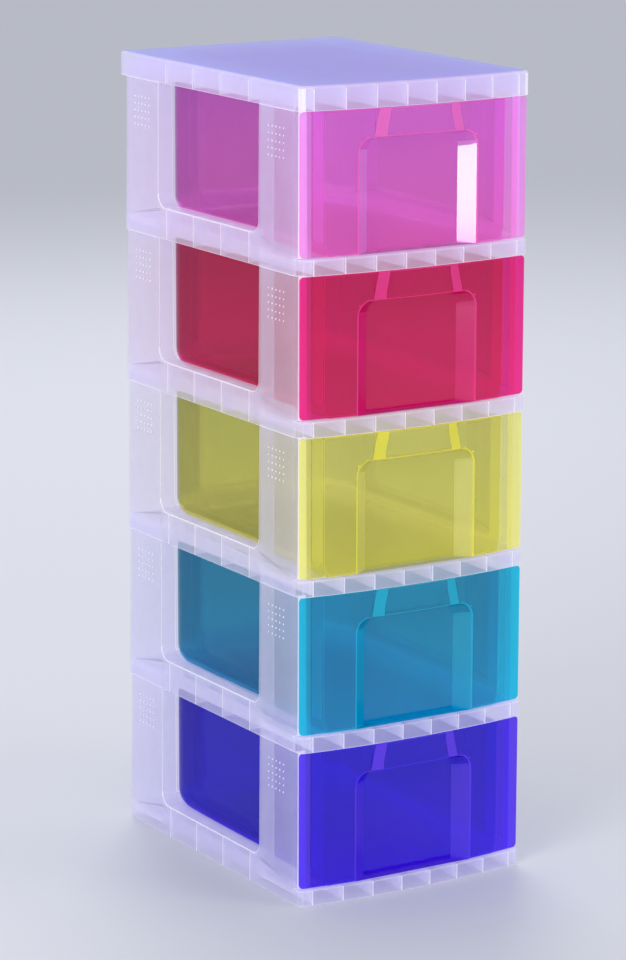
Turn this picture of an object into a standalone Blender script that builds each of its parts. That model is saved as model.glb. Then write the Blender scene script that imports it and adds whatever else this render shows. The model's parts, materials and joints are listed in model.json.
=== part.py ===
"""A free-standing tower of five stacked open frames, each holding one pull-out drawer, closed by a lid.

Metres, +Z up. The origin is at the middle of the footprint, on the floor. The drawers open towards -Y.
"""

import math

import bmesh
import bpy

# Driving dimensions
WIDTH = 0.3035
FRAME_DEPTH = 0.4015
LID_OVERHANG = 0.009
UNIT_PITCH = 0.182
UNIT_COUNT = 5
LID_HEIGHT = 0.028
FRONT_BOW = 0.011
WALL = 0.0018
CORNER_RADIUS = 0.008

# Frame
DECK_TOP = 0.019
DECK_THICKNESS = 0.0018
FRAME_TOP_GAP = 0.0004
FRAME_DRAFT = 0.0016
PILLAR_SETBACK = 0.0095
FRONT_FLANGE = 0.0155
SIDE_PILLAR_FRONT = 0.090
SIDE_PILLAR_REAR = 0.0845
REAR_WINDOW_HALF = 0.060
SILL_HEIGHT = 0.037
RETURN_DEPTH = 0.024
WINDOW_RADIUS = 0.018
TONGUE_HEIGHT = 0.0165
TONGUE_INSET = 0.0025
TONGUE_THICKNESS = 0.0016
TONGUE_FRONT_RADIUS = 0.004
TONGUE_FRONT_GAP = 0.006
RIB_COUNT = 8
RIB_PITCH = 0.0386
RIB_THICKNESS = 0.0014
RIB_FOOT = 0.0015
RIB_REAR_GAP = 0.008
WEB_COUNT = 4
WEB_PITCH = 0.0625
MOUTH_DEPTH = 0.020

# Lid
LID_EDGE_RADIUS = 0.004
LID_THICKNESS = 0.0022

# Drawer, with heights above its own frame's foot
PLATE_SETBACK = 0.0035
PLATE_THICKNESS = 0.0020
PLATE_BOTTOM = 0.0204
PLATE_TOP = 0.181
PLATE_HALF_WIDTH = 0.1495
PLATE_RADIUS = 0.005
TUB_HALF_WIDTH = 0.1205
TUB_REAR = 0.372
TUB_BOTTOM = 0.0196
TUB_TOP = 0.179
TUB_WALL = 0.0018
TUB_CORNER_RADIUS = 0.068
TUB_FOOT_RADIUS = 0.024
RECESS_HALF_WIDTH = 0.080
RECESS_BACK_HALF_WIDTH = 0.0598
RECESS_TOP = 0.1485
RECESS_BACK_TOP = 0.146
RECESS_RADIUS = 0.018
RECESS_MOUTH = -0.0055
RECESS_BACK = 0.0085
PAD_BOTTOM = 0.150
PAD_BASE_HALF_WIDTH = 0.0596
PAD_TOP_SHARE = 0.905
PAD_SLOPE = 3.4
PAD_HEIGHT = 0.0035
PAD_BACK = -0.0057
PAD_BLOCK_DEPTH = 0.0150

# The front corners of the plan lie at this y, and depths are measured back from it.
FRONT = -(FRAME_DEPTH + LID_OVERHANG + FRONT_BOW) / 2 + FRONT_BOW
BOW_RADIUS = (WIDTH**2 / 4 + FRONT_BOW**2) / (2 * FRONT_BOW)
HALF = WIDTH / 2
BOW_STEPS = 12
FOOT = DECK_TOP - DECK_THICKNESS
FRAME_TOP = UNIT_PITCH - FRAME_TOP_GAP
RETURN_INSIDE = HALF - RETURN_DEPTH
REAR_INSIDE = FRONT + FRAME_DEPTH - RETURN_DEPTH
SIDE_WINDOW = (FRONT + SIDE_PILLAR_FRONT, FRONT + FRAME_DEPTH - SIDE_PILLAR_REAR)

# How far a cutter passes the face it cuts, and how far it reaches where nothing else is
OVERSHOOT = 0.02
BEYOND = 0.1
# How deep a joined shape sits in its neighbour, kept unlike each other so that no faces coincide
EMBED = 0.001
RIB_EMBED = 0.0005
SKIN_EMBED = 0.0002
WINDOW_REACH = 0.004
# Tolerances: points that are one point, points at one height, and faces that are one plane
SAME_POINT = 2e-6
SAME_HEIGHT = 1e-5
FLAT_ANGLE = 0.002

COLOURS = {
    "orchid": (0.72, 0.17, 0.63),
    "raspberry": (0.62, 0.02, 0.12),
    "yellow": (0.62, 0.58, 0.10),
    "teal": (0.00, 0.22, 0.42),
    "violet": (0.05, 0.02, 0.60),
}
FROST = (0.80, 0.82, 0.90)


def clear_scene():
    for obj in list(bpy.data.objects):
        bpy.data.objects.remove(obj, do_unlink=True)


def new_collection(name):
    collection = bpy.data.collections.new(name)
    bpy.context.scene.collection.children.link(collection)
    return collection


def plastic(name, colour, roughness):
    material = bpy.data.materials.new(name)
    material.use_nodes = True
    shader = material.node_tree.nodes["Principled BSDF"]
    shader.inputs["Base Color"].default_value = (*colour, 1.0)
    shader.inputs["Roughness"].default_value = roughness
    shader.inputs["Metallic"].default_value = 0.0
    return material


def bow(x):
    """The y of the bowed front line at x."""
    return FRONT + BOW_RADIUS - FRONT_BOW - math.sqrt(BOW_RADIUS**2 - x**2)


def unit(x, y):
    length = math.hypot(x, y)
    return x / length, y / length


def rounded(points, radii, steps=5):
    """The closed outline through points, each corner with a radius replaced by an arc."""
    outline = []
    for i, (point, radius) in enumerate(zip(points, radii)):
        if radius <= 0:
            outline.append(point)
            continue
        before, after = points[i - 1], points[(i + 1) % len(points)]
        a = unit(before[0] - point[0], before[1] - point[1])
        b = unit(after[0] - point[0], after[1] - point[1])
        half_angle = math.acos(a[0] * b[0] + a[1] * b[1]) / 2
        reach = radius / math.tan(half_angle)
        middle = unit(a[0] + b[0], a[1] + b[1])
        centre = (
            point[0] + middle[0] * radius / math.sin(half_angle),
            point[1] + middle[1] * radius / math.sin(half_angle),
        )
        start = math.atan2(point[1] + a[1] * reach - centre[1], point[0] + a[0] * reach - centre[0])
        end = math.atan2(point[1] + b[1] * reach - centre[1], point[0] + b[0] * reach - centre[0])
        turn = (end - start + math.pi) % (2 * math.pi) - math.pi
        for k in range(steps + 1):
            angle = start + turn * k / steps
            outline.append((centre[0] + radius * math.cos(angle), centre[1] + radius * math.sin(angle)))
    return outline


def plan(half_width, front_shift, rear, front_radius, rear_radius, steps=5):
    """The plan outline: a bowed front, straight sides and a straight rear at a depth."""
    points = []
    for i in range(BOW_STEPS + 1):
        x = -half_width + 2 * half_width * i / BOW_STEPS
        points.append((x, bow(x) + front_shift))
    radii = [front_radius] + [0] * (BOW_STEPS - 1) + [front_radius, rear_radius, rear_radius]
    points += [(half_width, FRONT + rear), (-half_width, FRONT + rear)]
    return rounded(points, radii, steps)


def box_outline(low, high):
    return [(low[0], low[1]), (high[0], low[1]), (high[0], high[1]), (low[0], high[1])]


def prism(name, outline, low, high, axis="Z"):
    """A mesh object: the outline extruded from low to high along an axis.

    Along Z the outline is in x and y, along Y in x and z, and along X in y and z.
    """
    curve = bpy.data.curves.new(name, "CURVE")
    curve.dimensions = "2D"
    curve.fill_mode = "BOTH"
    curve.extrude = (high - low) / 2
    spline = curve.splines.new("POLY")
    spline.points.add(len(outline) - 1)
    for point, (u, v) in zip(spline.points, outline):
        point.co = (u, v, 0.0, 1.0)
    spline.use_cyclic_u = True
    drawn = bpy.data.objects.new(name + "_outline", curve)
    bpy.context.scene.collection.objects.link(drawn)
    bpy.context.view_layer.update()
    mesh = bpy.data.meshes.new_from_object(drawn.evaluated_get(bpy.context.evaluated_depsgraph_get()))
    bpy.data.objects.remove(drawn)
    bm = bmesh.new()
    bm.from_mesh(mesh)
    bmesh.ops.remove_doubles(bm, verts=bm.verts, dist=SAME_POINT)
    middle = (low + high) / 2
    for vert in bm.verts:
        u, v, w = vert.co
        w += middle
        vert.co = {"Z": (u, v, w), "Y": (u, w, v), "X": (w, u, v)}[axis]
    bm.normal_update()
    bmesh.ops.recalc_face_normals(bm, faces=bm.faces)
    bmesh.ops.dissolve_limit(bm, angle_limit=FLAT_ANGLE, verts=bm.verts, edges=bm.edges)
    bm.to_mesh(mesh)
    bm.free()
    mesh.name = name
    return bpy.data.objects.new(name, mesh)


def box(name, low, high):
    bm = bmesh.new()
    bmesh.ops.create_cube(bm, size=1.0)
    for vert in bm.verts:
        vert.co = [(lo + hi) / 2 + share * (hi - lo) for lo, hi, share in zip(low, high, vert.co)]
    mesh = bpy.data.meshes.new(name)
    bm.to_mesh(mesh)
    bm.free()
    return bpy.data.objects.new(name, mesh)


def combine(target, operation, tool):
    """Adds a Boolean with the tool, which goes in the hidden cutters collection."""
    cutters.objects.link(tool)
    tool.hide_render = True
    tool.display_type = "WIRE"
    modifier = target.modifiers.new(tool.name, "BOOLEAN")
    modifier.operation = operation
    modifier.solver = "EXACT"
    modifier.object = tool


def finished_mesh(pattern, name):
    """The mesh of a pattern with its Booleans applied, for copies to share."""
    cutters.objects.link(pattern)
    pattern.hide_render = True
    bpy.context.view_layer.update()
    evaluated = pattern.evaluated_get(bpy.context.evaluated_depsgraph_get())
    mesh = bpy.data.meshes.new_from_object(evaluated)
    mesh.name = name
    bm = bmesh.new()
    bm.from_mesh(mesh)
    bmesh.ops.remove_doubles(bm, verts=bm.verts, dist=SAME_POINT)
    bmesh.ops.dissolve_limit(bm, angle_limit=FLAT_ANGLE, verts=bm.verts, edges=bm.edges)
    bm.to_mesh(mesh)
    bm.free()
    return mesh


def place(mesh, name, height, material):
    obj = bpy.data.objects.new(name, mesh)
    obj.location = (0.0, 0.0, height)
    tower.objects.link(obj)
    if not mesh.materials:
        mesh.materials.append(None)
    obj.material_slots[0].link = "OBJECT"
    obj.material_slots[0].material = material
    return obj


def taper(obj, axis, at, centre, shares):
    """Scales the vertices beyond a place on an axis about a centre in the other two axes."""
    others = [i for i in range(3) if i != axis]
    for vert in obj.data.vertices:
        if vert.co[axis] > at:
            for i, middle, share in zip(others, centre, shares):
                vert.co[i] = middle + (vert.co[i] - middle) * share


def ribs(target, low, high, rear):
    """Front-to-back ribs under a deck, from the bowed front wall to a depth."""
    for i in range(RIB_COUNT):
        x = (i - (RIB_COUNT - 1) / 2) * RIB_PITCH
        start = bow(x) + WALL / 2
        half = RIB_THICKNESS / 2
        rib = box(f"{target.name}_rib_{i + 1}", (x - half, start, low), (x + half, FRONT + rear, high))
        combine(target, "UNION", rib)


def pillar_ring(name, inset, low, high):
    """The upper wall's plan as a block, drawn in towards its top by the draft."""
    corners = box_outline(
        (-HALF + inset, FRONT + PILLAR_SETBACK + inset), (HALF - inset, FRONT + FRAME_DEPTH - inset)
    )
    ring = prism(name, rounded(corners, [CORNER_RADIUS - inset] * 4), low, high)
    centre = (0.0, FRONT + (PILLAR_SETBACK + FRAME_DEPTH) / 2)
    drawn_in = (high - low) / UNIT_PITCH * FRAME_DRAFT
    spans = (HALF, (FRAME_DEPTH - PILLAR_SETBACK) / 2)
    taper(ring, 2, (low + high) / 2, centre, [1 - drawn_in / span for span in spans])
    return ring


def window(name, across, low, high, axis):
    """A U-shaped window's block with rounded lower corners, open at the top."""
    outline = rounded(
        box_outline((across[0], SILL_HEIGHT), (across[1], UNIT_PITCH + BEYOND)),
        [WINDOW_RADIUS, WINDOW_RADIUS, 0, 0],
    )
    return prism(name, outline, low, high, axis)


def deck_and_skirt():
    """The deck on its low skirt, open below."""
    outside = plan(HALF, 0.0, FRAME_DEPTH, CORNER_RADIUS, CORNER_RADIUS)
    inside = plan(HALF - WALL, WALL, FRAME_DEPTH - WALL, CORNER_RADIUS - WALL, CORNER_RADIUS - WALL)
    deck = prism("frame_pattern", outside, 0.0, DECK_TOP)
    combine(deck, "DIFFERENCE", prism("under_deck", inside, -OVERSHOOT, FOOT))
    return deck


def upper_wall():
    wall = pillar_ring("wall_outer", 0.0, FOOT + EMBED, FRAME_TOP)
    combine(wall, "DIFFERENCE", pillar_ring("wall_inner", WALL, FOOT - OVERSHOOT, FRAME_TOP + OVERSHOOT))
    return wall


def tongue():
    """The rim that nests behind the skirt of the frame above. It is open at the front."""
    inner = TONGUE_INSET + TONGUE_THICKNESS
    rear_radius = CORNER_RADIUS - TONGUE_INSET
    rim = plan(
        HALF - TONGUE_INSET, PILLAR_SETBACK, FRAME_DEPTH - TONGUE_INSET, TONGUE_FRONT_RADIUS, rear_radius
    )
    hole = plan(HALF - inner, 0.0, FRAME_DEPTH - inner, 0.0, CORNER_RADIUS - inner)
    ring = prism("tongue", rim, FRAME_TOP - EMBED, UNIT_PITCH + TONGUE_HEIGHT)
    combine(ring, "DIFFERENCE", prism("tongue_hole", hole, FRAME_TOP - OVERSHOOT, UNIT_PITCH + BEYOND))
    low = (-WIDTH, FRONT - WIDTH, 0.0)
    high = (WIDTH, FRONT + PILLAR_SETBACK + TONGUE_FRONT_GAP, UNIT_PITCH + BEYOND)
    combine(ring, "DIFFERENCE", box("tongue_front", low, high))
    return ring


def add_side_returns(frame):
    """A box behind each side window, hollow below its sill, whose faces become the window's returns."""
    for name, sign in (("left", -1), ("right", 1)):
        x = sorted((sign * RETURN_INSIDE, sign * (HALF - WALL + SKIN_EMBED)))
        low = (x[0], SIDE_WINDOW[0] - WALL, FOOT + EMBED)
        high = (x[1], SIDE_WINDOW[1] + WALL, FRAME_TOP)
        combine(frame, "UNION", box(f"return_{name}", low, high))
        x = sorted((sign * (RETURN_INSIDE + WALL), sign * (HALF - WALL)))
        low = (x[0], SIDE_WINDOW[0], -OVERSHOOT)
        high = (x[1], SIDE_WINDOW[1], SILL_HEIGHT - WALL)
        combine(frame, "DIFFERENCE", box(f"sill_hollow_{name}", low, high))


def add_rear_return(frame):
    skin = FRONT + FRAME_DEPTH - WALL
    low = (-REAR_WINDOW_HALF - WALL, REAR_INSIDE, FOOT + EMBED)
    high = (REAR_WINDOW_HALF + WALL, skin + SKIN_EMBED, FRAME_TOP)
    combine(frame, "UNION", box("return_rear", low, high))
    low = (-REAR_WINDOW_HALF, REAR_INSIDE + WALL, -OVERSHOOT)
    high = (REAR_WINDOW_HALF, skin, SILL_HEIGHT - WALL)
    combine(frame, "DIFFERENCE", box("sill_hollow_rear", low, high))


def add_webs(frame):
    """Crosswise webs inside each hollow side sill."""
    middle = sum(SIDE_WINDOW) / 2
    half = RIB_THICKNESS / 2
    for name, sign in (("left", -1), ("right", 1)):
        x = sorted((sign * (RETURN_INSIDE + WALL / 2), sign * (HALF - WALL + SKIN_EMBED)))
        for i in range(WEB_COUNT):
            y = middle + (i - (WEB_COUNT - 1) / 2) * WEB_PITCH
            low = (x[0], y - half, RIB_FOOT)
            high = (x[1], y + half, SILL_HEIGHT - WALL / 2)
            combine(frame, "UNION", box(f"web_{name}_{i + 1}", low, high))


def cut_openings(frame):
    """The two side windows, the rear window and the mouth that the drawer slides through."""
    for name, sign in (("left", -1), ("right", 1)):
        x = sorted((sign * (RETURN_INSIDE - WINDOW_REACH), sign * (HALF + OVERSHOOT)))
        combine(frame, "DIFFERENCE", window(f"window_{name}", SIDE_WINDOW, x[0], x[1], "X"))
    across = (-REAR_WINDOW_HALF, REAR_WINDOW_HALF)
    far = FRONT + FRAME_DEPTH + OVERSHOOT
    combine(frame, "DIFFERENCE", window("window_rear", across, REAR_INSIDE - WINDOW_REACH, far, "Y"))
    half = HALF - FRONT_FLANGE
    mouth = box("mouth", (-half, FRONT, DECK_TOP), (half, FRONT + MOUTH_DEPTH, UNIT_PITCH + BEYOND))
    combine(frame, "DIFFERENCE", mouth)


def frame_pattern():
    frame = deck_and_skirt()
    combine(frame, "UNION", upper_wall())
    combine(frame, "UNION", tongue())
    add_side_returns(frame)
    add_rear_return(frame)
    ribs(frame, RIB_FOOT, FOOT + RIB_EMBED, FRAME_DEPTH - RIB_REAR_GAP)
    add_webs(frame)
    cut_openings(frame)
    return frame


def lid_pattern():
    depth = FRAME_DEPTH + LID_OVERHANG
    inner = WALL + SKIN_EMBED
    lid = prism("lid_pattern", plan(HALF, 0.0, depth, CORNER_RADIUS, CORNER_RADIUS), 0.0, LID_HEIGHT)
    bm = bmesh.new()
    bm.from_mesh(lid.data)
    rim = [edge for edge in bm.edges if all(vert.co.z > LID_HEIGHT - SAME_HEIGHT for vert in edge.verts)]
    bmesh.ops.bevel(bm, geom=rim, offset=LID_EDGE_RADIUS, segments=3, profile=0.5, affect="EDGES")
    bm.to_mesh(lid.data)
    bm.free()
    hollow = plan(HALF - inner, inner, depth - inner, CORNER_RADIUS - inner, CORNER_RADIUS - inner)
    ceiling = LID_HEIGHT - LID_THICKNESS
    combine(lid, "DIFFERENCE", prism("under_lid", hollow, -OVERSHOOT, ceiling))
    ribs(lid, RIB_FOOT, ceiling + RIB_EMBED, FRAME_DEPTH - RIB_REAR_GAP)
    return lid


def tub(name, inset, front_shift, low, high):
    """The drawer's tub as a solid block: round rear corners and a round foot along its sides and rear."""
    outline = plan(
        TUB_HALF_WIDTH - inset,
        front_shift,
        TUB_REAR - inset,
        0.0,
        TUB_CORNER_RADIUS - inset,
    )
    block = prism(name, outline, low, high)
    bm = bmesh.new()
    bm.from_mesh(block.data)
    foot = []
    for edge in bm.edges:
        if any(vert.co.z > low + SAME_HEIGHT for vert in edge.verts):
            continue
        if any(face.normal.y < -0.9 for face in edge.link_faces):
            continue
        foot.append(edge)
    radius = TUB_FOOT_RADIUS - inset
    bmesh.ops.bevel(
        bm, geom=foot, offset=radius, segments=4, profile=0.5, affect="EDGES", clamp_overlap=False
    )
    bm.to_mesh(block.data)
    bm.free()
    return block


def strip(name, front_shift, back_shift, half_width, low, high):
    """A bowed strip between two shifts of the front line."""
    outline = []
    for i in range(BOW_STEPS + 1):
        x = half_width * (2 * i / BOW_STEPS - 1)
        outline.append((x, bow(x) + front_shift))
    for i in range(BOW_STEPS + 1):
        x = half_width * (1 - 2 * i / BOW_STEPS)
        outline.append((x, bow(x) + back_shift))
    return prism(name, outline, low, high)


def recess(name, grow, low):
    """The finger recess as a block: an arch that narrows towards its back, open at its foot."""
    half = RECESS_HALF_WIDTH + grow
    top = RECESS_TOP + grow
    back_half = RECESS_BACK_HALF_WIDTH + grow
    back_top = RECESS_BACK_TOP + grow
    arch = rounded(box_outline((-half, low), (half, top)), [0, 0, RECESS_RADIUS, RECESS_RADIUS])
    mouth = FRONT + RECESS_MOUTH
    block = prism(name, arch, FRONT - BEYOND, mouth, "Y")
    bm = bmesh.new()
    bm.from_mesh(block.data)
    end = [face for face in bm.faces if face.normal.y > 0.9]
    made = bmesh.ops.extrude_face_region(bm, geom=end)
    bmesh.ops.delete(bm, geom=end, context="FACES")
    for vert in [item for item in made["geom"] if isinstance(item, bmesh.types.BMVert)]:
        vert.co.y = FRONT + RECESS_BACK + grow
        vert.co.x *= back_half / half
        vert.co.z = low + (vert.co.z - low) * (back_top - low) / (top - low)
    bmesh.ops.recalc_face_normals(bm, faces=bm.faces)
    bm.to_mesh(block.data)
    bm.free()
    return block


def pull_pad():
    """The raised pad above the recess, with sloping sides, following the bow."""
    back = FRONT + PAD_BACK
    front = back - PAD_BLOCK_DEPTH
    half = PAD_BASE_HALF_WIDTH
    outline = [
        (-half, PAD_BOTTOM),
        (half, PAD_BOTTOM),
        (half * PAD_TOP_SHARE, PLATE_TOP),
        (-half * PAD_TOP_SHARE, PLATE_TOP),
    ]
    pad = prism("pull_pad", outline, front, back, "Y")
    for vert in pad.data.vertices:
        if vert.co.y < (front + back) / 2:
            vert.co.x *= 1 - PAD_SLOPE * PAD_BLOCK_DEPTH / half
    top = PLATE_SETBACK - PAD_HEIGHT
    sunk = PLATE_SETBACK + PLATE_THICKNESS / 2
    shell = strip("pad_shell", top, sunk, RECESS_HALF_WIDTH, 0.0, UNIT_PITCH)
    combine(pad, "INTERSECT", shell)
    return pad


def drawer_pattern():
    back = PLATE_SETBACK + PLATE_THICKNESS
    drawer = tub("drawer_pattern", 0.0, PLATE_SETBACK + PLATE_THICKNESS / 2, TUB_BOTTOM, TUB_TOP)
    inner_face = back + SKIN_EMBED
    cavity = tub("drawer_cavity", TUB_WALL, inner_face, TUB_BOTTOM + TUB_WALL, TUB_TOP + OVERSHOOT)
    combine(drawer, "DIFFERENCE", cavity)

    corners = box_outline((-PLATE_HALF_WIDTH, PLATE_BOTTOM), (PLATE_HALF_WIDTH, PLATE_TOP))
    face = rounded(corners, [PLATE_RADIUS] * 4)
    plate = prism("plate", face, FRONT - BEYOND, FRONT + BEYOND, "Y")
    combine(plate, "INTERSECT", strip("plate_bow", PLATE_SETBACK, back, HALF, 0.0, UNIT_PITCH + OVERSHOOT))
    combine(drawer, "UNION", plate)

    combine(drawer, "UNION", recess("recess_wall", TUB_WALL, TUB_BOTTOM))
    high = UNIT_PITCH + OVERSHOOT
    ahead = strip("ahead_of_plate", -BEYOND, PLATE_SETBACK, HALF + OVERSHOOT, -OVERSHOOT, high)
    combine(drawer, "DIFFERENCE", ahead)
    combine(drawer, "DIFFERENCE", recess("recess_space", 0.0, 0.0))
    combine(drawer, "UNION", pull_pad())
    return drawer


clear_scene()
tower = new_collection("drawer_tower")
cutters = new_collection("cutters")

frosted = plastic("frosted_clear_plastic", FROST, 0.35)
frame_mesh = finished_mesh(frame_pattern(), "stacking_frame")
drawer_mesh = finished_mesh(drawer_pattern(), "drawer")
lid_mesh = finished_mesh(lid_pattern(), "lid")

for level, (colour_name, colour) in enumerate(reversed(COLOURS.items())):
    height = level * UNIT_PITCH
    place(frame_mesh, f"frame_{level + 1}", height, frosted)
    tinted = plastic(f"{colour_name}_clear_plastic", colour, 0.15)
    place(drawer_mesh, f"drawer_{colour_name}", height, tinted)
place(lid_mesh, "lid", UNIT_COUNT * UNIT_PITCH, frosted)
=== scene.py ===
"""The looks of the drawer tower: frosted frames and lid, and clear tinted drawers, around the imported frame.

Metres, +Z up, in the frame's own axes: the drawers open towards -Y, and the floor is at z = 0.
"""

import json
import math

import bmesh
import bpy
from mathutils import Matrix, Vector

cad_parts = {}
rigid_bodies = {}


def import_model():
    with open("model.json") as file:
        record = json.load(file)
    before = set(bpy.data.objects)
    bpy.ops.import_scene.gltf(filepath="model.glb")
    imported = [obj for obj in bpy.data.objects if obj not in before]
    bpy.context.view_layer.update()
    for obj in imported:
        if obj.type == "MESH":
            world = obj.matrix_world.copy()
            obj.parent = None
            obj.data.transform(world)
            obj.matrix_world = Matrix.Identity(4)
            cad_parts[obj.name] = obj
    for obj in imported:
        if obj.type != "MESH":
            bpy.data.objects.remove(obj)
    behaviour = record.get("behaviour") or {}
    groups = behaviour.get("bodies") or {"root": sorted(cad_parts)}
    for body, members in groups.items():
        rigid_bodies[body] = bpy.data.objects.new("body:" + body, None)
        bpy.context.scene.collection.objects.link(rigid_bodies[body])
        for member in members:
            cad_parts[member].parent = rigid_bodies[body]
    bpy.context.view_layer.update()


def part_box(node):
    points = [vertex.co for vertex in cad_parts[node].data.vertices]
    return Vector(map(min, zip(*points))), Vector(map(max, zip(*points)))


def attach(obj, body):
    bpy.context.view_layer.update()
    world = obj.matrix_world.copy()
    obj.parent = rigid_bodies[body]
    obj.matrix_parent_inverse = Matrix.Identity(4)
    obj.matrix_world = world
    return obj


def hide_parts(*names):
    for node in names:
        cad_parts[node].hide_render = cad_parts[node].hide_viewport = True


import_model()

COLOUR_NAMES = ["violet", "teal", "yellow", "raspberry", "orchid"]

# Sizes read from the frame
frame_low, frame_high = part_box("frame_1")
lid_low, lid_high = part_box("lid")
tub_low, tub_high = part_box("drawer_violet")
HALF = frame_high.x
WIDTH = 2 * HALF
UNIT_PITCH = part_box("frame_2")[0].z - frame_low.z
TONGUE_TOP = frame_high.z
LID_HEIGHT = lid_high.z - lid_low.z
LID_OVERHANG = lid_high.y - frame_high.y
FRONT_BOW = 0.011
FRONT = frame_low.y + FRONT_BOW
FRAME_DEPTH = frame_high.y - FRONT

# Frame, with depths behind the front corners and heights above the frame's own foot
WALL = 0.0018
CORNER_RADIUS = 0.008
DECK_TOP = 0.019
DECK_THICKNESS = 0.0018
BAND_ROUNDING = 0.003
FRAME_TOP_GAP = 0.0004
FRAME_DRAFT = 0.0016
PILLAR_SETBACK = 0.0095
FRONT_FLANGE = 0.0155
SIDE_PILLAR_FRONT = 0.090
SIDE_PILLAR_REAR = 0.083
REAR_WINDOW_HALF = 0.060
SILL_HEIGHT = 0.037
RETURN_DEPTH = 0.020
WINDOW_RADIUS = 0.015
TONGUE_INSET = 0.0025
TONGUE_THICKNESS = 0.0016
TONGUE_FRONT_RADIUS = 0.004
TONGUE_FRONT_GAP = 0.006
RIB_COUNT = 8
RIB_PITCH = 0.0386
RIB_THICKNESS = 0.0014
RIB_FOOT = 0.0015
RIB_REAR_GAP = 0.008
WEB_COUNT = 4
WEB_PITCH = 0.0625
MOUTH_DEPTH = 0.020
PIP_ROWS = 5
PIP_PITCH = 0.0082
PIP_RADIUS = 0.0011
PIP_HEIGHT = 0.00045
PIP_MIDDLE = 0.144
PIP_DEPTHS = (0.053, 0.357)

# Lid
LID_EDGE_RADIUS = 0.004
LID_THICKNESS = 0.0022

# Drawer
PLATE_SETBACK = 0.0035
PLATE_THICKNESS = 0.0020
PLATE_BOTTOM = 0.0204
PLATE_TOP = tub_high.z
PLATE_HALF_WIDTH = tub_high.x
PLATE_RADIUS = 0.005
TUB_HALF_WIDTH = 0.1205
TUB_REAR = tub_high.y - FRONT
TUB_BOTTOM = tub_low.z
TUB_TOP = 0.179
TUB_WALL = 0.0018
TUB_CORNER_RADIUS = 0.054
TUB_FOOT_RADIUS = 0.024
RECESS_HALF_WIDTH = 0.080
RECESS_BACK_HALF_WIDTH = 0.0598
RECESS_TOP = 0.1485
RECESS_BACK_TOP = 0.146
RECESS_RADIUS = 0.018
RECESS_MOUTH = -0.0055
RECESS_BACK = 0.0085
PAD_BOTTOM = 0.150
PAD_BASE_HALF_WIDTH = 0.0596
PAD_TOP_SHARE = 0.905
PAD_SLOPE = 3.4
PAD_HEIGHT = 0.0035
PAD_BACK = -0.0057
PAD_BLOCK_DEPTH = 0.0150
LIP_ROUNDING = 0.0011
STRIP_DEPTH = 0.024

# Derived
BOW_RADIUS = (WIDTH**2 / 4 + FRONT_BOW**2) / (2 * FRONT_BOW)
FOOT = DECK_TOP - DECK_THICKNESS
FRAME_TOP = UNIT_PITCH - FRAME_TOP_GAP
RETURN_INSIDE = HALF - RETURN_DEPTH
REAR_INSIDE = FRONT + FRAME_DEPTH - RETURN_DEPTH
SIDE_WINDOW = (FRONT + SIDE_PILLAR_FRONT, FRONT + FRAME_DEPTH - SIDE_PILLAR_REAR)
OUTER_RIB = (RIB_COUNT - 1) / 2 * RIB_PITCH

# Fineness
BOW_STEPS = 36
ARC_STEPS = 9
FOOT_SEGMENTS = 8
BAND_SEGMENTS = 5
LID_EDGE_SEGMENTS = 6
LIP_SEGMENTS = 3
ROUNDING_SEGMENTS = 2
FACE_WEIGHT = 100
PIP_SEGMENTS = 10
PIP_RINGS = 6
EDGE_ROUNDING = 0.00035
EDGE_ANGLE = math.radians(32)

# How far a cutter passes the face it cuts, how far it reaches where nothing else is, and how deep joined
# shapes sit in each other
OVERSHOOT = 0.02
BEYOND = 0.1
EMBED = 0.001
RIB_EMBED = 0.0005
SKIN_EMBED = 0.0002
WALL_INSET = 0.00005
WINDOW_REACH = 0.004
SAME_POINT = 2e-6
SAME_HEIGHT = 1e-5
FLAT_ANGLE = 0.002

# Material slots of every mesh: its main one, its rims, then a strip or top, and ribs or sides. The
# second, for rims, lips, pips, flanges and front corners, is a painted glow and painted highlight; the third
# is the drawers' strips and recess sides, painted lighter, or the lid's top, a painted reflection; and the
# fourth holds the tub's sides, in painted shade
MAIN = 0
PAINTED_GLOW = 1
THIRD = 2
FOURTH = 3
SLOT_COUNT = 4

# How much of a face's normal lies along an axis: the least for a face squarely across it, and for the lid's
# level top, and limits for slanting and upright faces
SQUARE = 0.9
NEARLY_SQUARE = 0.8
LEVEL = 0.97
SLANT = 0.4
HALF_TURNED = 0.5
PAD_TURN = 0.2
CORNER_TURN = 0.25
UPRIGHT = 0.3
NEARLY_UPRIGHT = 0.2

# A face narrower than this is a wall's edge
RIM_THICKNESS = 1.3 * DECK_THICKNESS

scratch = bpy.data.collections.new("scratch")
bpy.context.scene.collection.children.link(scratch)


# Shapes


def bow(x):
    """The y of the bowed front line at x."""
    return FRONT + BOW_RADIUS - FRONT_BOW - math.sqrt(BOW_RADIUS**2 - x**2)


def unit(x, y):
    length = math.hypot(x, y)
    return x / length, y / length


def rounded(points, radii, steps=ARC_STEPS):
    """The closed outline through points, each corner with a radius replaced by an arc."""
    outline = []
    for i, (point, radius) in enumerate(zip(points, radii)):
        if radius <= 0:
            outline.append(point)
            continue
        before, after = points[i - 1], points[(i + 1) % len(points)]
        a = unit(before[0] - point[0], before[1] - point[1])
        b = unit(after[0] - point[0], after[1] - point[1])
        half_angle = math.acos(a[0] * b[0] + a[1] * b[1]) / 2
        reach = radius / math.tan(half_angle)
        middle = unit(a[0] + b[0], a[1] + b[1])
        out = radius / math.sin(half_angle)
        centre = (point[0] + middle[0] * out, point[1] + middle[1] * out)
        start = math.atan2(point[1] + a[1] * reach - centre[1], point[0] + a[0] * reach - centre[0])
        end = math.atan2(point[1] + b[1] * reach - centre[1], point[0] + b[0] * reach - centre[0])
        turn = (end - start + math.pi) % (2 * math.pi) - math.pi
        for k in range(steps + 1):
            angle = start + turn * k / steps
            outline.append((centre[0] + radius * math.cos(angle), centre[1] + radius * math.sin(angle)))
    return outline


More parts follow.
